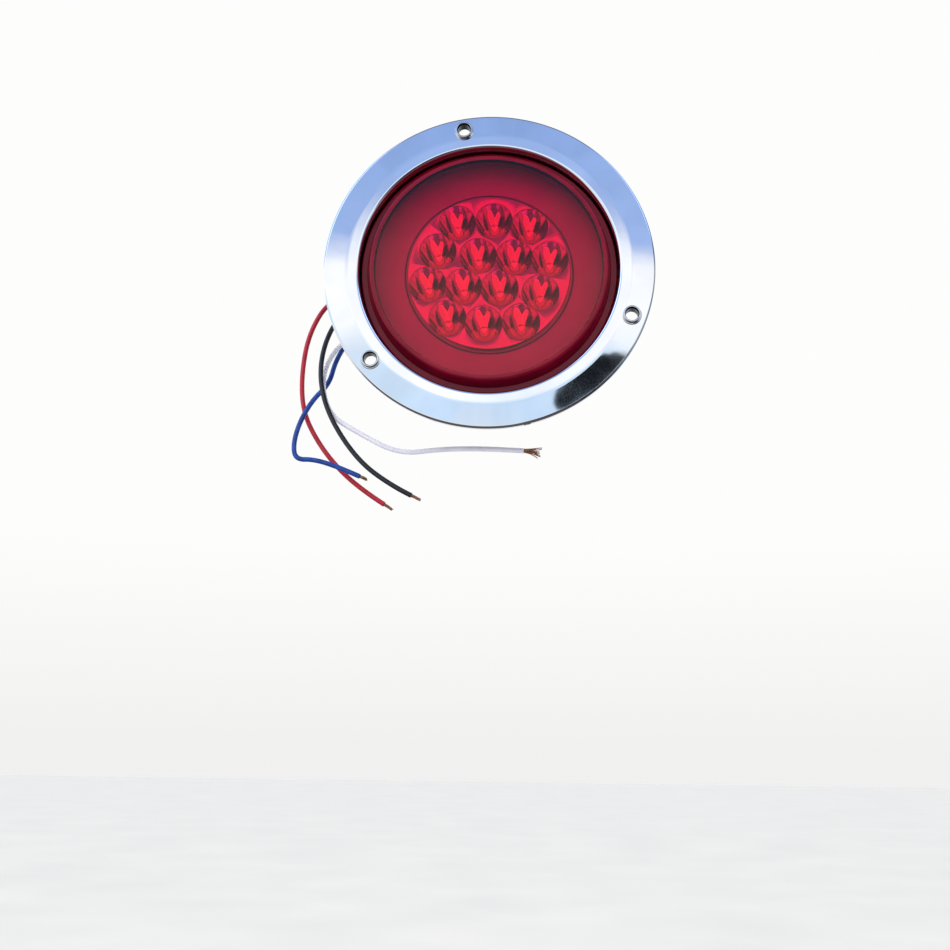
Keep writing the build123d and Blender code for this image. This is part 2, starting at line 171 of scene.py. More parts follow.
# Lead frame in each LED: outlines of the anvil and of the post, (across, ahead of the base)
ANVIL = [
    (-0.0001, 0.0), (0.0005, 0.0), (0.0006, 0.0012), (0.0011, 0.0019), (0.0014, 0.0026),
    (0.00138, 0.0034), (0.00105, 0.0042), (0.00045, 0.0041), (0.0001, 0.0031), (-0.0001, 0.0025),
]
POST = [
    (-0.0005, 0.0), (-0.00015, 0.0), (-0.00015, 0.0024), (-0.0004, 0.0028), (-0.0009, 0.0037),
    (-0.0013, 0.0035), (-0.00135, 0.0028), (-0.0009, 0.0018), (-0.00055, 0.0011),
]
FRAME_HALF_THICKNESS = 0.00025

# Housing and grommet
SHOULDER_Y = 0.0130
SHOULDER_THICKNESS = 0.0022
TONGUE_RADIUS = 0.0519
CUP_INNER_RADIUS = 0.0492
HOUSING_FRONT_RADIUS = 0.0518
HOUSING_BACK_RADIUS = 0.0508
BACK_Y = 0.0280
BACK_WALL = 0.0022
BACK_RIBS = (0.0290, 0.0430)
RIB_WIDTH = 0.0016
RIB_HEIGHT = 0.0008
RIB_TAPER = 0.15
BOSS_OUTER_RADIUS = 0.0100
BOSS_DRAFT = 0.0003
EJECTOR_MARKS = 6
EJECTOR_CIRCLE_RADIUS = 0.0365
EJECTOR_RADIUS = 0.0021
EJECTOR_TOP_RADIUS = 0.0022
EJECTOR_DEPTH = 0.00018
EJECTOR_TURN = 15
GROMMET_GROOVE_RADIUS = 0.0070
GROMMET_NOSE_RADIUS = 0.0064
COLLAR_HEIGHT = 0.0016
# Raised lip where each wire leaves the grommet
WIRE_LIP_FOOT = 0.0012
WIRE_LIP_TIP = 0.0004
WIRE_LIP_HEIGHT = 0.0009
WIRE_LIP_ROOT = 0.0010
BEAD_BULGE = 0.00015

FLOOR_Z = -0.60
FLOOR_HALF = 14.0
# Softboxes: name, place, size, watts
SOFTBOXES = [
    ("left_softbox", (-0.9, -0.9, 0.9), (0.7, 0.9), 6.0),
    ("right_softbox", (1.0, -0.8, 0.6), (0.5, 0.9), 3.0),
]

# Sky that the gloss shows: (degrees above the horizon, colour)
SKY = [
    (-24, (0.09, 0.09, 0.10)),
    (-14, (0.80, 0.80, 0.80)),
    (2, (0.90, 0.92, 0.95)),
    (6, (0.62, 0.80, 1.02)),
    (12, (0.70, 0.86, 1.04)),
    (17, (1.12, 1.13, 1.18)),
    (22, (1.04, 1.06, 1.12)),
    (26, (0.36, 0.51, 0.88)),
    (40, (0.28, 0.43, 0.80)),
    (58, (0.24, 0.34, 0.60)),
    (66, (0.10, 0.11, 0.14)),
]
SKY_SPAN = (-30, 90)
# Noise scales of the clouds, of their mottling and of the figures' ragged edges
CLOUD_SCALE = 9.0
MOTTLE_SCALE = 20.0
FRINGE_SCALE = 110.0
# How many degrees the clouds lift and lower the sky's bands
CLOUD_LIFT = 8.0
# Brightness of the mottled sky, of the sky far to the right, and of a dark figure
MOTTLE_RANGE = (0.95, 1.04)
RIGHT_BRIGHTNESS = 0.3
FIGURE_BRIGHTNESS = 0.012
# Bright clouds to the left and right: middle's azimuth and elevation, half width, half height, strength
BRIGHT_CLOUDS = [(-52, 42, 24, 20, 2.4), (50, 44, 18, 16, 2.0)]
# Dark figures low in the sky: middle's azimuth and elevation, tilt, half width, half height, raggedness
DARK_FIGURES = [(9.35, 9.7, 38.0, 5.0, 0.85, 0.45), (24, -10, 0.0, 20, 15, 0.4)]
# What is behind the lamp, and the even light on it from above and from below
PAPER = (0.985, 0.983, 0.978, 1.0)
HORIZON = (0.875, 0.875, 0.870, 1.0)
DIFFUSE_SKY = (1.55, 1.55, 1.54, 1.0)
DIFFUSE_GROUND = (0.80, 0.80, 0.80, 1.0)


# ---------------------------------------------------------------- meshes

def rounded(corners, steps=7):
    """Outline from (radius, y, fillet) corners; a fillet above zero becomes an arc."""
    outline = []
    for index, (radius, y, fillet) in enumerate(corners):
        here = Vector((radius, y))
        if fillet <= 0:
            outline.append(tuple(here))
            continue
        before = (Vector(corners[index - 1][:2]) - here).normalized()
        after = (Vector(corners[(index + 1) % len(corners)][:2]) - here).normalized()
        half = before.angle(after) / 2
        centre = here + (before + after).normalized() * (fillet / math.sin(half))
        start = here + before * (fillet / math.tan(half)) - centre
        sweep = start.angle_signed(here + after * (fillet / math.tan(half)) - centre)
        for step in range(steps + 1):
            angle = -sweep * step / steps
            turned = Matrix.Rotation(angle, 2) @ start
            outline.append(tuple(centre + turned))
    return outline


def guarded(outline):
    """Outline with a point close to each end of its longer runs, so that flat faces shade flat."""
    dense = []
    for here, following in zip(outline, outline[1:] + outline[:1]):
        start, end = Vector(here), Vector(following)
        dense.append(here)
        if (end - start).length > 12 * GUARD:
            step = (end - start).normalized() * GUARD
            if here[0] > 0:
                dense.append(tuple(start + step))
            if following[0] > 0:
                dense.append(tuple(end - step))
    return dense


def lathe(outline, centre=(0.0, 0.0), segments=SEGMENTS):
    """Closed outline of (radius, y) points turned about an axis along Y through centre (x, z)."""
    shape = bmesh.new()
    rings = []
    for radius, y in guarded(outline):
        if radius < 1e-7:
            rings.append([shape.verts.new((centre[0], y, centre[1]))])
            continue
        ring = []
        for step in range(segments):
            angle = 2 * math.pi * step / segments
            place = (centre[0] + radius * math.cos(angle), y, centre[1] + radius * math.sin(angle))
            ring.append(shape.verts.new(place))
        rings.append(ring)
    for first, second in zip(rings, rings[1:] + rings[:1]):
        if len(first) == 1 and len(second) == 1:
            continue
        for step in range(segments):
            following = (step + 1) % segments
            corners = [first[step % len(first)], first[following % len(first)]]
            corners += [second[following % len(second)], second[step % len(second)]]
            shape.faces.new(dict.fromkeys(corners))
    bmesh.ops.recalc_face_normals(shape, faces=shape.faces)
    mesh = bpy.data.meshes.new("turned")
    shape.to_mesh(mesh)
    shape.free()
    return mesh


def joined(meshes):
    """One mesh of several, which are removed."""
    shape = bmesh.new()
    for mesh in meshes:
        shape.from_mesh(mesh)
        bpy.data.meshes.remove(mesh)
    mesh = bpy.data.meshes.new("joined")
    shape.to_mesh(mesh)
    shape.free()
    return mesh


def combined(mesh, others, operation):
    """Mesh with each of the others cut away from it or added to it."""
    body = bpy.data.objects.new("body", mesh)
    bpy.context.scene.collection.objects.link(body)
    helpers = []
    for other in others:
        helper = bpy.data.objects.new("helper", other)
        bpy.context.scene.collection.objects.link(helper)
        modifier = body.modifiers.new("combine", "BOOLEAN")
        modifier.operation = operation
        modifier.solver = "MANIFOLD"
        modifier.object = helper
        helpers.append(helper)
    depsgraph = bpy.context.evaluated_depsgraph_get()
    result = bpy.data.meshes.new_from_object(body.evaluated_get(depsgraph))
    result.materials.clear()
    for used in [body, *helpers]:
        used_mesh = used.data
        bpy.data.objects.remove(used)
        bpy.data.meshes.remove(used_mesh)
    return result


def piece(name, mesh, materials, replaced):
    """A visible piece that stands for CAD nodes and rides with the lamp."""
    for material in materials:
        mesh.materials.append(material)
    mesh.shade_smooth()
    mesh.set_sharp_from_angle(angle=SHARP_ANGLE)
    made = bpy.data.objects.new(name, mesh)
    mesh.name = name
    bpy.context.scene.collection.objects.link(made)
    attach(made, "root")
    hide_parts(*replaced)
    return made


def islands(node):
    """Lowest and highest corner of each separate solid of a CAD node."""
    shape = bmesh.new()
    shape.from_mesh(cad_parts[node].data)
    bmesh.ops.remove_doubles(shape, verts=shape.verts, dist=1e-6)
    found, seen = [], set()
    for start in shape.verts:
        if start in seen:
            continue
        seen.add(start)
        group, waiting = [], [start]
        while waiting:
            here = waiting.pop()
            group.append(here.co.copy())
            for edge in here.link_edges:
                other = edge.other_vert(here)
                if other not in seen:
                    seen.add(other)
                    waiting.append(other)
        low = Vector([min(place[axis] for place in group) for axis in range(3)])
        high = Vector([max(place[axis] for place in group) for axis in range(3)])
        found.append((low, high))
    shape.free()
    return found


def centres(node):
    """(x, z) of the middle of each separate solid of a CAD node."""
    return [((low.x + high.x) / 2, (low.z + high.z) / 2) for low, high in islands(node)]


# ---------------------------------------------------------------- materials

def new_material(name):
    """Material with an empty node tree, and the tree."""
    material = bpy.data.materials.new(name)
    material.use_nodes = True
    material.node_tree.nodes.clear()
    return material, material.node_tree


def add(tree, kind, inputs=None, **settings):
    """Shader node with its settings, and its inputs set or linked by name."""
    node = tree.nodes.new("ShaderNode" + kind)
    for key, value in settings.items():
        setattr(node, key, value)
    for key, value in (inputs or {}).items():
        if isinstance(value, bpy.types.NodeSocket):
            tree.links.new(value, node.inputs[key])
        else:
            node.inputs[key].default_value = value
    return node


def noise(tree, scale, detail=2.0):
    """A 0 to 1 pattern fixed to the piece."""
    place = add(tree, "TexCoord").outputs["Object"]
    made = add(tree, "TexNoise", {"Vector": place, "Scale": scale, "Detail": detail})
    return made.outputs["Fac"]


def spread(tree, factor, low, high):
    """A 0 to 1 pattern as a number from low to high."""
    inputs = {"Value": factor, "From Min": 0.25, "From Max": 0.75, "To Min": low, "To Max": high}
    return add(tree, "MapRange", inputs).outputs["Result"]


def shades(tree, factor, dark, light):
    """A 0 to 1 pattern as a colour from dark to light."""
    ramp = add(tree, "ValToRGB", {"Fac": factor})
    ramp.color_ramp.elements[0].position = 0.3
    ramp.color_ramp.elements[0].color = (*dark, 1.0)
    ramp.color_ramp.elements[1].position = 0.7
    ramp.color_ramp.elements[1].color = (*light, 1.0)
    return ramp.outputs["Color"]


def bumps(tree, height, distance):
    """Normal that stands for a relief of that height pattern and depth."""
    return add(tree, "Bump", {"Height": height, "Distance": distance}).outputs["Normal"]


def surface(tree, shader):
    """Shader set as what the material shows."""
    add(tree, "OutputMaterial", {"Surface": shader.outputs[0]})


def maths(tree, operation, *values):
    """Result of a Math node on numbers or sockets."""
    inputs = dict(enumerate(values))
    return add(tree, "Math", inputs, operation=operation).outputs[0]


def solid_material(
        name, dark, light, pattern_scale, rough, grain_scale, grain_depth, metallic=0.0, **more):
    """Moulded, plated or rubbery finish: uneven colour and gloss, and a fine grain.

    The pattern runs from dark to light and over the rough range. More names shader inputs, with _
    for each space.
    """
    material, tree = new_material(name)
    broad = noise(tree, pattern_scale, 4.0)
    grain = noise(tree, grain_scale, 3.0)
    inputs = {
        "Base Color": shades(tree, broad, dark, light),
        "Roughness": spread(tree, broad, rough[0], rough[1]),
        "Metallic": metallic,
        "Normal": bumps(tree, grain, grain_depth),
    }
    inputs.update({key.replace("_", " "): value for key, value in more.items()})
    surface(tree, add(tree, "BsdfPrincipled", inputs))
    return material


def clear_material(name, dark, light, ior, pattern_scale, wave_depth):
    """Clear plastic: it tints what is behind it and mirrors a little at its outer faces."""
    material, tree = new_material(name)
    waviness = bumps(tree, noise(tree, pattern_scale, 1.0), wave_depth)
    clear = add(tree, "BsdfTransparent", {"Color": shades(tree, noise(tree, 60.0), dark, light)})
    gloss_rough = spread(tree, noise(tree, 90.0, 5.0), 0.02, 0.07)
    gloss = add(tree, "BsdfAnisotropic", {"Roughness": gloss_rough, "Normal": waviness})
    edge = add(tree, "Fresnel", {"IOR": ior, "Normal": waviness}).outputs["Fac"]
    outside = maths(tree, "SUBTRACT", 1.0, add(tree, "NewGeometry").outputs["Backfacing"])
    mirrored = maths(tree, "MULTIPLY", edge, outside)
    inputs = {0: mirrored, 1: clear.outputs[0], 2: gloss.outputs[0]}
    surface(tree, add(tree, "MixShader", inputs))
    return material


def wire_material(name, dark, light):
    """PVC insulation: a little uneven along its length, with a soft sheen."""
    return solid_material(name, dark, light, 260.0, (0.28, 0.45), 1400.0, 0.000001)


CHROME = solid_material(
    "chrome_plating", (0.87, 0.88, 0.90), (0.92, 0.93, 0.95), 60.0, (0.015, 0.05), 40.0, 0.00002, 1.0)
STEEL = solid_material(
    "nickel_steel", (0.58, 0.57, 0.56), (0.74, 0.73, 0.72), 500.0, (0.06, 0.16), 2200.0, 0.00001, 1.0)
# Painted shade: the eyelets' bores are near-black metal, standing for the shade inside the holes.
BORE = solid_material(
    "bore_steel_painted_shade", (0.035, 0.035, 0.042), (0.090, 0.088, 0.100), 500.0, (0.20, 0.35), 2200.0,
    0.00001, 1.0)
WINDOW = clear_material(
    "clear_red_acrylic", (0.965, 0.175, 0.460), (0.975, 0.195, 0.490), 1.48, 45.0, 0.00002)
# Painted shade: the lens's sides are clear red in the real lamp, drawn as opaque deep red for clear red
# with only shade behind it.
RIM = solid_material(
    "red_acrylic_painted_shade", (0.13, 0.0015, 0.012), (0.19, 0.003, 0.018), 70.0, (0.05, 0.16), 300.0, 0.00001,
    Specular_IOR_Level=0.25)
HALO = solid_material(
    "satin_red_diffuser", (0.35, 0.12, 0.46), (0.41, 0.15, 0.54), 80.0, (0.38, 0.48), 2400.0, 0.00001)
MIRROR = solid_material(
    "metallised_plastic", (0.90, 0.84, 0.84), (0.96, 0.90, 0.90), 150.0, (0.02, 0.06), 160.0, 0.000008,
    0.96)
EPOXY = clear_material("clear_epoxy", (0.90, 0.86, 0.86), (0.97, 0.94, 0.94), 1.50, 900.0, 0.000005)
# Painted glow: the lead frames have a pink base colour and give off red light though the LEDs are unlit, so
# the mirror cups show bright red lobes.
FRAME = solid_material(
    "silvered_lead_frame_painted_glow", (0.90, 0.30, 0.40), (1.00, 0.36, 0.46), 900.0, (0.35, 0.55), 1500.0, 0.000005,
    Emission_Color=(1.0, 0.08, 0.20, 1.0), Emission_Strength=0.85)
# Painted glow: the pale LED bases give off a faint red light though the LEDs are unlit.
LED_BASE = solid_material(
    "pale_led_base_painted_glow", (0.86, 0.30, 0.40), (0.96, 0.36, 0.46), 900.0, (0.30, 0.50), 1500.0, 0.000005,
    Emission_Color=(1.0, 0.08, 0.20, 1.0), Emission_Strength=0.20)
PLASTIC = solid_material(
    "black_moulded_plastic", (0.010, 0.010, 0.011), (0.017, 0.017, 0.018), 120.0, (0.36, 0.52), 3800.0,
    0.00003)
RUBBER = solid_material(
    "black_rubber", (0.013, 0.013, 0.013), (0.024, 0.023, 0.022), 300.0, (0.55, 0.75), 2800.0, 0.00003)
FOAM = solid_material(
    "closed_cell_foam", (0.012, 0.012, 0.013), (0.040, 0.040, 0.042), 1500.0, (0.85, 0.98), 1800.0, 0.00012)
SEALANT = solid_material(
    "dark_sealant", (0.020, 0.020, 0.021), (0.036, 0.036, 0.038), 400.0, (0.30, 0.50), 1200.0, 0.00004)
COPPER = solid_material(
    "bare_copper", (0.62, 0.26, 0.13), (0.90, 0.50, 0.30), 1800.0, (0.22, 0.42), 5200.0, 0.00002, 1.0)
BRASS = solid_material(
    "tarnished_copper", (0.36, 0.24, 0.10), (0.60, 0.42, 0.20), 1800.0, (0.28, 0.48), 5200.0, 0.00002, 1.0)
WIRES = {
    "red": wire_material("red_pvc_skin", (0.34, 0.007, 0.020), (0.50, 0.012, 0.035)),
    "black": wire_material("black_pvc_skin", (0.012, 0.013, 0.018), (0.024, 0.025, 0.032)),
    "white": wire_material("white_pvc_skin", (0.76, 0.76, 0.90), (0.86, 0.86, 0.97)),
    "blue": wire_material("blue_pvc_skin", (0.004, 0.030, 0.200), (0.007, 0.070, 0.400)),
}
BOARD = solid_material(
    "board_laminate_look", (0.020, 0.100, 0.040), (0.035, 0.150, 0.060), 200.0, (0.30, 0.45), 1800.0,
    0.00001)
PACKAGE = solid_material(
    "led_package_look", (0.72, 0.70, 0.62), (0.82, 0.80, 0.72), 900.0, (0.30, 0.45), 2500.0, 0.00001)
COMPONENT = solid_material(
    "component_look", (0.014, 0.014, 0.015), (0.026, 0.026, 0.027), 700.0, (0.40, 0.60), 3000.0, 0.00001)
SOLDER = solid_material(
    "solder_look", (0.55, 0.55, 0.56), (0.70, 0.70, 0.71), 900.0, (0.20, 0.38), 2500.0, 0.00001, 1.0)


# ---------------------------------------------------------------- camera

def add_camera():
    """Camera that was fitted to the photograph."""
    ahead = Vector(CAMERA_AHEAD).normalized()
    right = ahead.cross(Vector(CAMERA_UP)).normalized()
    up = right.cross(ahead)
    data = bpy.data.cameras.new("camera")
    data.sensor_width = CAMERA_SENSOR_MM
    data.lens = CAMERA_LENS_MM
    camera = bpy.data.objects.new("camera", data)
    turn = Matrix((right, up, -ahead)).transposed().to_4x4()
    camera.matrix_world = Matrix.Translation(CAMERA_PLACE) @ turn
    bpy.context.scene.collection.objects.link(camera)
    bpy.context.scene.camera = camera


# ---------------------------------------------------------------- wires

def nurbs_curve(name, routes, radius, material, smoothness):
    """One curve object with an open NURBS spline for each route."""
    curve = bpy.data.curves.new(name, "CURVE")
    curve.dimensions = "3D"
    curve.bevel_depth = radius
    curve.bevel_resolution = smoothness
    curve.resolution_u = CURVE_STEPS
    curve.use_fill_caps = True
    for route in routes:
        spline = curve.splines.new("NURBS")
        spline.points.add(len(route) - 1)
        for point, place in zip(spline.points, route):
            point.co = (*place, 1.0)
        spline.order_u = 3
        spline.use_endpoint_u = True
    curve.materials.append(material)
    made = bpy.data.objects.new(name, curve)
    bpy.context.scene.collection.objects.link(made)
    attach(made, "root")
    return made


def copper_end(colour):
    """Bundle of bare strands in line with the wire's last run, a little twisted and spread."""
    length, count, reach, unruly = COPPER_ENDS[colour]
    before, end = (Vector(place) for place in ROUTES[colour][-2:])
    ahead = (end - before).normalized()
    side = ahead.cross(Vector((0, 1, 0))).normalized()
    lift = side.cross(ahead)
    dice = random.Random(len(colour) * 7 + count)
    packed = WIRE_RADIUS * BUNDLE_SHARE
    routes = []
    for number in range(count):
        ring = math.sqrt((number + 0.3) / count)
        route = []
        for share in STRAND_STATIONS:
            bare = max(share, 0.0)
            swing = STRAND_TURN * number + STRAND_TWIST * bare
            out = ring * (packed + (reach - packed) * bare ** SPREAD_POWER)
            shift = side * math.cos(swing) * out + lift * math.sin(swing) * out
            wobble = Vector([dice.uniform(-unruly, unruly) for axis in range(3)]) * bare
            trim = 1.0 - TIP_TRIM * dice.random() * bare
            route.append(end + ahead * (length * share * trim) + shift + wobble)
        routes.append(route)
    material = BRASS if colour == "blue" else COPPER
    made = nurbs_curve("copper_" + colour, routes, STRAND_RADIUS, material, STRAND_SMOOTHNESS)
    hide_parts("strands_" + colour)
    return made


def add_wires():
    """Four hanging cords, each with its bare copper end."""
    for colour, route in ROUTES.items():
        wire = nurbs_curve("cord_" + colour, [route], WIRE_RADIUS, WIRES[colour], CORD_SMOOTHNESS)
        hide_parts("wire_" + colour)
        copper_end(colour)


# ---------------------------------------------------------------- lamp front

def add_bezel():
    """Chrome flange: lip, sloping face, rolled edge and skirt, with bosses and holes for the eyelets."""
    low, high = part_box("bezel_flange")
    radius, lip_y, end_y = high.x, low.y, high.y
    skirt_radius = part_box("bezel_bond")[1].x
    floor_y = lip_y + SKIN
    ring = lathe(rounded([
        (OPENING_RADIUS, lip_y, LIP_ROUND),
        (CREASE_RADIUS, lip_y, CREASE_ROUND),
        (radius, EDGE_Y, EDGE_ROUND),
        (radius, 0.0, 0.0002),
        (radius - RIM_WALL, 0.0, 0.0002),
        (radius - RIM_WALL, EDGE_Y + SKIN, 0.0003),
        (CREASE_RADIUS, floor_y, 0),
        (skirt_radius, floor_y, 0.0003),
        (skirt_radius, end_y, 0.0001),
        (OPENING_RADIUS, end_y, 0.0001),
    ]))
    places = centres("screw_eyelets")
    boss = [(0, EDGE_Y), (BOSS_RADIUS, EDGE_Y), (BOSS_RADIUS, 0.0), (0, 0.0)]
    bosses = [lathe(boss, place, NARROW_SEGMENTS) for place in places]
    start_y, stop_y = lip_y - CUT_MARGIN, CUT_MARGIN
    hole = [(0, start_y), (BARREL_RADIUS, start_y), (BARREL_RADIUS, stop_y), (0, stop_y)]
    holes = [lathe(hole, place, NARROW_SEGMENTS) for place in places]
    mesh = combined(combined(ring, bosses, "UNION"), holes, "DIFFERENCE")
    piece("chrome_bezel", mesh, [CHROME], ["bezel_flange"])


def add_eyelets():
    """Bright flanged sleeves with a flared mouth, and a bore painted near black for the shade inside it."""
    low, high = islands("screw_eyelets")[0]
    foot_radius = (high.x - low.x) / 2
    rim_y = low.y
    outline = rounded([
        (BORE_RADIUS, rim_y + MOUTH_DEPTH, 0.0008),
        (MOUTH_RADIUS, rim_y, 0.0002),
        (RIM_RADIUS, rim_y, 0.00025),
        (RIM_RADIUS, rim_y + RIM_DEPTH, 0.0002),
        (NECK_RADIUS, rim_y + NECK_TOP, 0.0002),
        (NECK_RADIUS, rim_y + NECK_END, 0.0002),
        (foot_radius, rim_y + FOOT_TOP, 0.0002),
        (foot_radius, rim_y + FOOT_END, 0),
        (BARREL_RADIUS, rim_y + FOOT_END, 0),
        (BARREL_RADIUS, 0, 0),
        (BORE_RADIUS, 0, 0),
    ], 5)
    sleeves = []
    for place in centres("screw_eyelets"):
        sleeve = lathe(outline, place, MIDDLE_SEGMENTS)
        # Faces inside the mouth get the near-black bore: painted shade.
        for face in sleeve.polygons:
            distance = math.hypot(face.center.x - place[0], face.center.z - place[1])
            face.material_index = 1 if distance < MOUTH_RADIUS - 0.0001 else 0
        sleeves.append(sleeve)
    piece("eyelet_sleeves", joined(sleeves), [STEEL, BORE], ["screw_eyelets"])


def add_gasket():
    """Foam ring in the channel behind the flange, cut away round the eyelets."""
    low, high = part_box("mounting_gasket")
    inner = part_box("bezel_bond")[1].x + GASKET_CLEARANCE
    ring = lathe(rounded([
        (inner, low.y, 0.0002),
        (high.x, low.y, 0.0002),
        (high.x, high.y, 0.0003),
        (inner, high.y, 0.0003),
    ], 3))
    gap_radius = BOSS_RADIUS + GASKET_CLEARANCE
    start_y, stop_y = low.y - CUT_MARGIN, high.y + CUT_MARGIN
    gap = [(0, start_y), (gap_radius, start_y), (gap_radius, stop_y), (0, stop_y)]
    gaps = [lathe(gap, place, NARROW_SEGMENTS) for place in centres("screw_eyelets")]
    mesh = combined(ring, gaps, "DIFFERENCE")
    piece("foam_gasket", mesh, [FOAM], ["mounting_gasket"])


def add_lens():
    """Flat clear window, with sides that slope down to a ledge inside the bezel; the sides are opaque deep
    red, painted shade for clear red with the dark inside behind it.
    """
    low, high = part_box("outer_lens")
    radius, front_y, end_y = high.x, low.y, high.y
    window_back_y = front_y + WINDOW_THICKNESS
    ledge_back_y = LENS_LEDGE_Y + LENS_WALL
    mesh = lathe(rounded([
        (0, front_y, 0),
        (CLEAR_RADIUS, front_y, 0),
        (WINDOW_RADIUS, front_y, WINDOW_ROUND),
        (LENS_FOOT_RADIUS, LENS_LEDGE_Y, 0.0003),
        (radius, LENS_LEDGE_Y, LENS_LEDGE_ROUND),
        (radius, end_y, 0),
        (radius - LENS_WALL, end_y, 0),
        (radius - LENS_WALL, ledge_back_y, 0.0004),
        (LENS_FOOT_RADIUS - LENS_WALL, ledge_back_y, 0.0004),
        (WINDOW_RADIUS - LENS_WALL, window_back_y, 0),
        (0, window_back_y, 0),
    ]))
    for face in mesh.polygons:
        away = math.hypot(face.center.x, face.center.z)
        front = face.center.y < window_back_y - 0.0001
        clear_radius = CLEAR_RADIUS if front else WINDOW_RADIUS - LENS_WALL
        face.material_index = 1 if away > clear_radius else 0
    piece("red_lens", mesh, [WINDOW, RIM], ["outer_lens"])


def add_halo():
    """Smooth sloping ring round the reflector, with a foot at its outer edge."""
    low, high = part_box("halo_diffuser")
    radius, inner_y, foot_y = high.x, low.y, high.y
    outer_y = inner_y + HALO_DROP
    mesh = lathe(rounded([
        (HALO_INNER_RADIUS, inner_y, 0.0004),
        (radius, outer_y, 0.0003),
        (radius, foot_y, 0),
        (CUP_INNER_RADIUS, foot_y, 0),
        (CUP_INNER_RADIUS, outer_y + HALO_THICKNESS, 0),
        (HALO_INNER_RADIUS, inner_y + HALO_THICKNESS, 0),
    ]))
    piece("halo_ring", mesh, [HALO], ["halo_diffuser"])


def add_reflector():
    """Disc with a deep parabolic cup round each LED."""
    low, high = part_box("reflector")
    face_y, board_y, foot_radius = low.y, high.y, high.x
    chamfer_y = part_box("halo_diffuser")[0].y
    disc = lathe(rounded([
        (0, face_y, 0),
        (REFLECTOR_FACE_RADIUS, face_y, 0.0004),
        (foot_radius, chamfer_y, 0.0006),
        (foot_radius, board_y, 0),
        (0, board_y, 0),
    ]))
    bottom_y = face_y + CUP_DEPTH
    slope = (CUP_RADIUS ** 2 - CUP_BOTTOM_RADIUS ** 2) / CUP_DEPTH
    wall = []
    wall_y = face_y + CUP_LIP
    for step in range(CUP_RINGS + 1):
        y = wall_y + (bottom_y - wall_y) * step / CUP_RINGS
        wall.append((math.sqrt(CUP_BOTTOM_RADIUS ** 2 + slope * (bottom_y - y)), y))
    lip_radius = wall[0][0] + CUP_LIP
    mouth = [(0, face_y - CUT_MARGIN), (lip_radius, face_y - CUT_MARGIN)]
    for step in range(LIP_STEPS):
        angle = math.radians(90 * step / LIP_STEPS)
        mouth.append((lip_radius - CUP_LIP * math.sin(angle), wall_y - CUP_LIP * math.cos(angle)))
    drain = [(CUP_BOTTOM_RADIUS, board_y + CUT_MARGIN), (0, board_y + CUT_MARGIN)]
    cups = [lathe(mouth + wall + drain, place, MIDDLE_SEGMENTS) for place in centres("stop_leds")]
    mesh = combined(disc, cups, "DIFFERENCE")
    piece("mirror_reflector", mesh, [MIRROR], ["reflector"])


def blade(outline, place, base_y):
    """Thin flat metal part that stands in an LED on its base and lies along its axis."""
    shape = bmesh.new()
    x, z = place
    sides = []
    for lift in (-FRAME_HALF_THICKNESS, FRAME_HALF_THICKNESS):
        corners = [(x + across, base_y - ahead, z + lift) for across, ahead in outline]
        sides.append([shape.verts.new(corner) for corner in corners])
    for side in sides:
        shape.faces.new(side)
    lower, upper = sides
    for index in range(len(outline)):
        following = (index + 1) % len(outline)
        shape.faces.new([lower[index], lower[following], upper[following], upper[index]])
    bmesh.ops.recalc_face_normals(shape, faces=shape.faces)
    mesh = bpy.data.meshes.new("blade")
    shape.to_mesh(mesh)
    shape.free()
    return mesh


def add_leds():
    """Clear domes on pale bases, each with a metal lead frame inside; the frames and bases give off a
    painted red glow.
    """
    places = centres("stop_leds")
    low, high = islands("stop_leds")[0]
    board_y, base_radius = high.y, (high.x - low.x) / 2
    base_y = board_y - LED_BASE_HEIGHT
    dome_y = base_y - LED_BARREL
    outline = [(0, base_y), (LED_DOME_RADIUS, base_y)]
    for step in range(DOME_STEPS + 1):
        angle = math.radians(90 * step / DOME_STEPS)
        across, ahead = LED_DOME_RADIUS * math.cos(angle), LED_DOME_RADIUS * math.sin(angle)
        outline.append((across, dome_y - ahead))
    domes = [lathe(outline, place, TINY_SEGMENTS) for place in places]
    leads = [blade(part, place, base_y) for place in places for part in (ANVIL, POST)]
    slab_radius = base_radius + LED_BASE_SHIFT
    top_y, bottom_y = base_y - LED_BASE_SHIFT, board_y - LED_BASE_SHIFT
    slab = [(0, top_y), (slab_radius, top_y), (slab_radius, bottom_y), (0, bottom_y)]
    bases = [lathe(slab, place, TINY_SEGMENTS) for place in places]
    first_lead = sum(len(dome.polygons) for dome in domes)
    first_base = first_lead + sum(len(lead.polygons) for lead in leads)
    mesh = joined(domes + leads + bases)
    for face in mesh.polygons:
        face.material_index = (face.index >= first_lead) + (face.index >= first_base)
    piece("led_domes", mesh, [EPOXY, FRAME, LED_BASE], ["stop_leds"])


# ---------------------------------------------------------------- lamp back

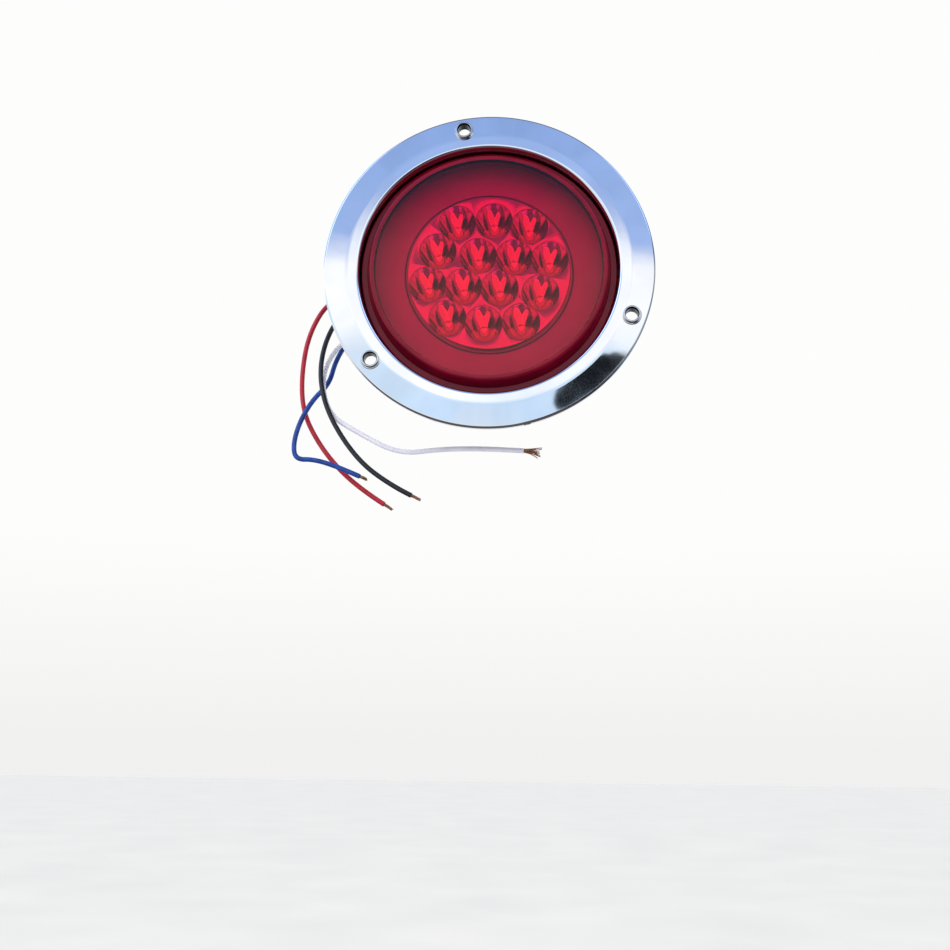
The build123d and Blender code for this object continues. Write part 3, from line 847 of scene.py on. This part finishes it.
def add_housing():
    """Cup with ribs and mould marks on its back, and a boss for the grommet."""
    low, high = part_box("housing")
    shoulder_radius, front_y, boss_y = high.x, low.y, high.y
    inner_back_y = BACK_Y - BACK_WALL
    back = []
    for start in sorted(BACK_RIBS, reverse=True):
        back += [
            (start + RIB_WIDTH, BACK_Y, 0.0003),
            (start + RIB_WIDTH * (1 - RIB_TAPER), BACK_Y + RIB_HEIGHT, 0.0002),
            (start + RIB_WIDTH * RIB_TAPER, BACK_Y + RIB_HEIGHT, 0.0002),
            (start, BACK_Y, 0.0003),
        ]
    cup = lathe(rounded([
        (CUP_INNER_RADIUS, front_y, 0),
        (TONGUE_RADIUS, front_y, 0.0002),
        (TONGUE_RADIUS, SHOULDER_Y, 0),
        (shoulder_radius, SHOULDER_Y, 0.0003),
        (shoulder_radius, SHOULDER_Y + SHOULDER_THICKNESS, 0.0005),
        (HOUSING_FRONT_RADIUS, SHOULDER_Y + SHOULDER_THICKNESS, 0.0006),
        (HOUSING_BACK_RADIUS, BACK_Y, 0.0030),
        *back,
        (0, BACK_Y, 0),
        (0, inner_back_y, 0),
        (CUP_INNER_RADIUS, inner_back_y, 0.0020),
    ]))
    grommet_low, grommet_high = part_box("wire_grommet")
    place = ((grommet_low.x + grommet_high.x) / 2, (grommet_low.z + grommet_high.z) / 2)
    boss = lathe(rounded([
        (0, inner_back_y, 0),
        (BOSS_OUTER_RADIUS + BOSS_DRAFT, inner_back_y, 0),
        (BOSS_OUTER_RADIUS, boss_y, 0.0006),
        (0, boss_y, 0),
    ]), place, LARGE_SEGMENTS)
    hole = lathe([
        (0, front_y),
        (GROMMET_GROOVE_RADIUS, front_y),
        (GROMMET_GROOVE_RADIUS, boss_y + CUT_MARGIN),
        (0, boss_y + CUT_MARGIN),
    ], place, LARGE_SEGMENTS)
    mesh = combined(combined(cup, [boss], "UNION"), [hole, *ejector_marks()], "DIFFERENCE")
    piece("rear_housing", mesh, [PLASTIC], ["housing"])


def ejector_marks():
    """Shallow round marks that the mould's pins leave on the back."""
    bottom_y, top_y = BACK_Y - EJECTOR_DEPTH, BACK_Y + CUT_MARGIN
    outline = [(0, bottom_y), (EJECTOR_RADIUS, bottom_y), (EJECTOR_TOP_RADIUS, top_y), (0, top_y)]
    marks = []
    for step in range(EJECTOR_MARKS):
        angle = math.radians(360 / EJECTOR_MARKS * step + EJECTOR_TURN)
        place = (EJECTOR_CIRCLE_RADIUS * math.cos(angle), EJECTOR_CIRCLE_RADIUS * math.sin(angle))
        marks.append(lathe(outline, place, TINY_SEGMENTS))
    return marks


def add_grommet():
    """Rubber plug in the boss, with a lip and a hole for each wire."""
    low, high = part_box("wire_grommet")
    place = ((low.x + high.x) / 2, (low.z + high.z) / 2)
    collar_radius = (high.x - low.x) / 2
    inner_back_y = BACK_Y - BACK_WALL
    boss_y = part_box("housing")[1].y
    body = lathe(rounded([
        (0, low.y, 0),
        (collar_radius, low.y, 0.0005),
        (collar_radius, inner_back_y, 0.0003),
        (GROMMET_GROOVE_RADIUS, inner_back_y, 0),
        (GROMMET_GROOVE_RADIUS, boss_y, 0),
        (collar_radius, boss_y, 0.0003),
        (collar_radius, boss_y + COLLAR_HEIGHT, 0.0008),
        (GROMMET_NOSE_RADIUS, high.y, 0.0009),
        (0, high.y, 0),
    ]), place, LARGE_SEGMENTS)
    exits = [(route[0][0], route[0][2]) for route in ROUTES.values()]
    lip = rounded([
        (0, high.y - WIRE_LIP_ROOT, 0),
        (WIRE_RADIUS + WIRE_LIP_FOOT, high.y - WIRE_LIP_ROOT, 0),
        (WIRE_RADIUS + WIRE_LIP_TIP, high.y + WIRE_LIP_HEIGHT, 0.0002),
        (0, high.y + WIRE_LIP_HEIGHT, 0),
    ])
    lips = [lathe(lip, place, TINY_SEGMENTS) for place in exits]
    start_y, stop_y = low.y - CUT_MARGIN, high.y + 2 * CUT_MARGIN
    hole = [(0, start_y), (WIRE_RADIUS, start_y), (WIRE_RADIUS, stop_y), (0, stop_y)]
    holes = [lathe(hole, place, TINY_SEGMENTS) for place in exits]
    mesh = combined(combined(body, lips, "UNION"), holes, "DIFFERENCE")
    piece("rubber_grommet", mesh, [RUBBER], ["wire_grommet"])


def add_bond():
    """Sealant between the bezel's skirt and the housing's shoulder, squeezed out a little."""
    low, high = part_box("bezel_bond")
    middle_y = (low.y + high.y) / 2
    mesh = lathe(rounded([
        (OPENING_RADIUS, low.y, 0),
        (high.x, low.y, 0),
        (high.x + BEAD_BULGE, middle_y, 0.0002),
        (high.x, high.y, 0),
        (OPENING_RADIUS, high.y, 0),
    ]))
    piece("sealant_bead", mesh, [SEALANT], ["bezel_bond"])


INNER_NODES = {
    "lens_seal": SEALANT,
    "halo_leds": PACKAGE,
    "circuit_board": BOARD,
    "resistors": COMPONENT,
    "diodes": COMPONENT,
    "current_regulator": COMPONENT,
    "board_screws": STEEL,
    "inner_leads": COPPER,
    "solder_joints": SOLDER,
}


def dress_inner_nodes():
    """Looks of the CAD nodes that stay and that nothing shows from outside."""
    for node, material in INNER_NODES.items():
        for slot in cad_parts[node].material_slots:
            slot.material = material


# ---------------------------------------------------------------- stage

def add_floor():
    """Plain pale floor, out of the way of the gloss and the soft light."""
    material, tree = new_material("pale_floor")
    broad = noise(tree, 3.0, 3.0)
    inputs = {
        "Base Color": shades(tree, broad, (0.55, 0.55, 0.546), (0.58, 0.58, 0.576)),
        "Roughness": spread(tree, broad, 0.6, 0.75),
        "Specular IOR Level": 0.1,
    }
    surface(tree, add(tree, "BsdfPrincipled", inputs))
    shape = bmesh.new()
    bmesh.ops.create_grid(shape, x_segments=8, y_segments=8, size=FLOOR_HALF)
    mesh = bpy.data.meshes.new("floor")
    shape.to_mesh(mesh)
    shape.free()
    mesh.materials.append(material)
    floor = bpy.data.objects.new("floor", mesh)
    floor.location = (0, 0, FLOOR_Z)
    floor.visible_glossy = False
    floor.visible_diffuse = False
    bpy.context.scene.collection.objects.link(floor)


def add_light(name, place, size, watts):
    """Softbox that faces the lamp and doesn't show in its gloss."""
    data = bpy.data.lights.new(name, "AREA")
    data.shape = "RECTANGLE"
    data.size, data.size_y = size
    data.energy = watts
    light = bpy.data.objects.new(name, data)
    light.location = place
    light.rotation_euler = (-Vector(place)).to_track_quat("-Z", "Y").to_euler()
    light.visible_glossy = False
    bpy.context.scene.collection.objects.link(light)


def oval(tree, azimuth, elevation, middle, tilt, size):
    """Squared distance from the middle of a tilted oval of the sky, 1 on its edge."""
    across = maths(tree, "SUBTRACT", azimuth, middle[0])
    above = maths(tree, "SUBTRACT", elevation, middle[1])
    cosine, sine = math.cos(tilt), math.sin(tilt)
    along = maths(tree, "MULTIPLY_ADD", across, cosine, maths(tree, "MULTIPLY", above, sine))
    aside = maths(tree, "MULTIPLY_ADD", across, -sine, maths(tree, "MULTIPLY", above, cosine))
    length = maths(tree, "POWER", maths(tree, "DIVIDE", along, size[0]), 2.0)
    width = maths(tree, "POWER", maths(tree, "DIVIDE", aside, size[1]), 2.0)
    return maths(tree, "ADD", length, width)


def fading(tree, value, start, end, first, last):
    """First until start, then smoothly over to last at end."""
    inputs = {"Value": value, "From Min": start, "From Max": end, "To Min": first, "To Max": last}
    return add(tree, "MapRange", inputs, interpolation_type="SMOOTHSTEP").outputs["Result"]


def sky_noise(tree, direction, scale, detail):
    """A 0 to 1 pattern over the sky."""
    inputs = {"Vector": direction, "Scale": scale, "Detail": detail}
    return add(tree, "TexNoise", inputs).outputs["Fac"]


def sky_colour(tree):
    """Colour of the sky in each direction: clouds, blue above them, dark figures and bright clouds."""
    direction = add(tree, "TexCoord").outputs["Generated"]
    parts = add(tree, "SeparateXYZ", {"Vector": direction}).outputs
    elevation = maths(tree, "DEGREES", maths(tree, "ARCSINE", parts["Z"]))
    backwards = maths(tree, "MULTIPLY", parts["Y"], -1.0)
    azimuth = maths(tree, "DEGREES", maths(tree, "ARCTAN2", parts["X"], backwards))
    clouds = sky_noise(tree, direction, CLOUD_SCALE, 6.0)
    fringe = sky_noise(tree, direction, FRINGE_SCALE, 3.0)
    mottled = sky_noise(tree, direction, MOTTLE_SCALE, 5.0)
    lifted = maths(tree, "MULTIPLY_ADD", maths(tree, "SUBTRACT", clouds, 0.5), CLOUD_LIFT, elevation)
    low, high = SKY_SPAN
    place = add(tree, "MapRange", {"Value": lifted, "From Min": low, "From Max": high})
    ramp = add(tree, "ValToRGB", {"Fac": place.outputs["Result"]})
    elements = ramp.color_ramp.elements
    while len(elements) < len(SKY):
        elements.new(0.5)
    for element, (degrees, colour) in zip(elements, SKY):
        element.position = (degrees - low) / (high - low)
        element.color = (*colour, 1.0)
    rightward = fading(tree, parts["X"], 0.5, 0.8, 1.0, RIGHT_BRIGHTNESS)
    seen = maths(tree, "MULTIPLY", rightward, fading(tree, mottled, 0.3, 0.7, *MOTTLE_RANGE))
    for middle_azimuth, middle_elevation, tilt, half_width, half_height, raggedness in DARK_FIGURES:
        middle, size = (middle_azimuth, middle_elevation), (half_width, half_height)
        reach = oval(tree, azimuth, elevation, middle, math.radians(tilt), size)
        reach = maths(tree, "MULTIPLY_ADD", maths(tree, "SUBTRACT", fringe, 0.5), raggedness, reach)
        seen = maths(tree, "MULTIPLY", seen, fading(tree, reach, 0.85, 1.15, FIGURE_BRIGHTNESS, 1.0))
    for middle_azimuth, middle_elevation, half_width, half_height, strength in BRIGHT_CLOUDS:
        middle, size = (middle_azimuth, middle_elevation), (half_width, half_height)
        reach = oval(tree, azimuth, elevation, middle, 0.0, size)
        seen = maths(tree, "ADD", seen, fading(tree, reach, 0.5, 1.2, strength, 0.0))
    inputs = {0: ramp.outputs["Color"], "Scale": seen}
    return add(tree, "VectorMath", inputs, operation="SCALE").outputs[0]


def add_world():
    """Paper white past the lamp, even white for soft light, and a sky for the gloss to show."""
    world = bpy.data.worlds.new("studio")
    bpy.context.scene.world = world
    world.use_nodes = True
    tree = world.node_tree
    tree.nodes.clear()
    rays = add(tree, "LightPath").outputs
    direction = add(tree, "TexCoord").outputs["Generated"]
    height = add(tree, "SeparateXYZ", {"Vector": direction}).outputs["Z"]
    overhead = fading(tree, height, -0.1, 0.25, 0.0, 1.0)
    shades_of_light = {0: overhead, 6: DIFFUSE_GROUND, 7: DIFFUSE_SKY}
    shade = add(tree, "Mix", shades_of_light, data_type="RGBA").outputs[2]
    soft = add(tree, "Background", {"Color": shade})
    sky = add(tree, "Background", {"Color": sky_colour(tree)})
    above = add(tree, "MapRange", {"Value": height, "From Min": 0.0, "From Max": 0.16}).outputs["Result"]
    sheet = add(tree, "Mix", {0: above, 6: HORIZON, 7: PAPER}, data_type="RGBA").outputs[2]
    paper = add(tree, "Background", {"Color": sheet})
    lit = add(tree, "MixShader", {0: rays["Is Glossy Ray"], 1: soft.outputs[0], 2: sky.outputs[0]})
    mix = add(tree, "MixShader", {0: rays["Is Camera Ray"], 1: lit.outputs[0], 2: paper.outputs[0]})
    add(tree, "OutputWorld", {"Surface": mix.outputs[0]})


def add_stage():
    add_floor()
    add_world()
    for softbox in SOFTBOXES:
        add_light(*softbox)
    bpy.context.scene.view_settings.view_transform = "Standard"


add_camera()
add_wires()
add_bezel()
add_eyelets()
add_gasket()
add_lens()
add_halo()
add_reflector()
add_leds()
add_housing()
add_grommet()
add_bond()
dress_inner_nodes()
add_stage()
